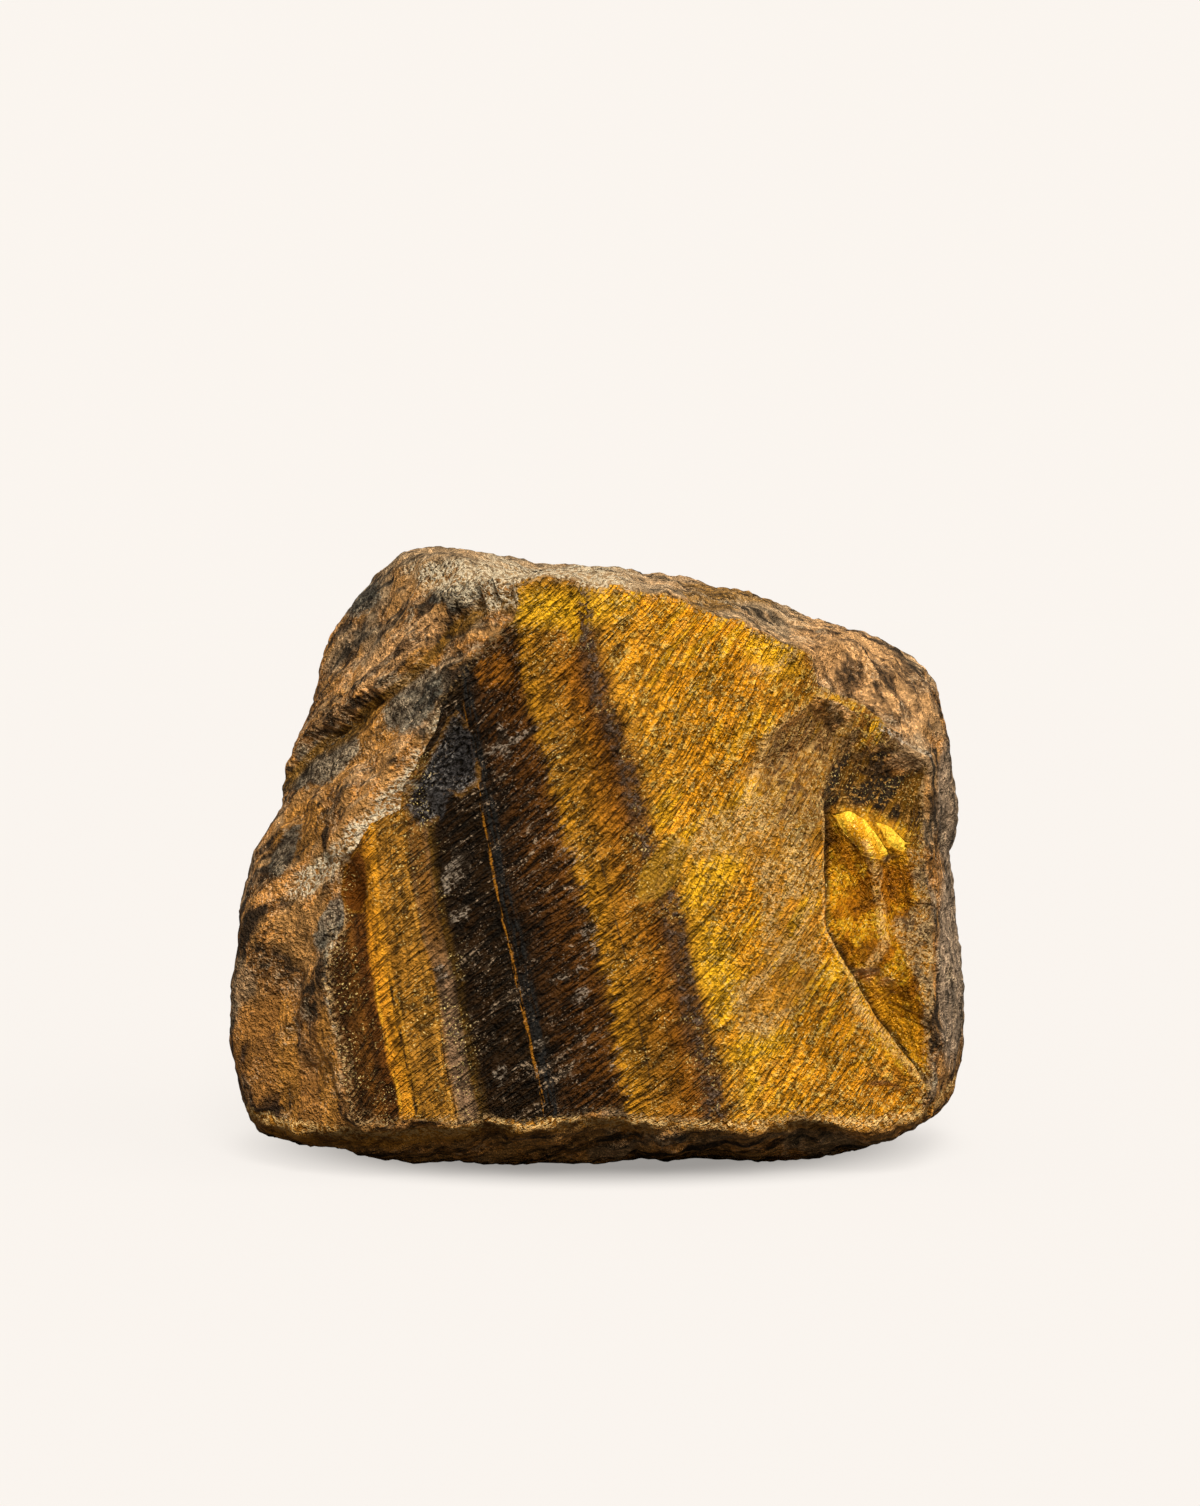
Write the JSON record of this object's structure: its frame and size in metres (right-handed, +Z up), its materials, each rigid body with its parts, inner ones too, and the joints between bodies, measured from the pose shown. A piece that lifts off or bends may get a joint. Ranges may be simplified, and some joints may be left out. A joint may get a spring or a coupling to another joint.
{
  "type": "rough tiger's eye",
  "caption": "Rough lump of tiger's eye: a flat split face showing gold and dark brown fibrous bands, weathered brown skin on the other sides, and a flat underside that it rests on.",
  "frame": {"origin": "on the ground under the middle of the stone, a point of its flat underside", "axes": "+Z up, +X along the longest side of the split face, and the split face looks along -Y"},
  "size_m": [0.0806, 0.0499, 0.0661],
  "materials": {
    "tigers_eye": "silky golden brown bands on the split face, dull brown weathered skin elsewhere"
  },
  "bodies": {
    "root": {"stone": "tigers_eye"}
  },
  "joints": []
}
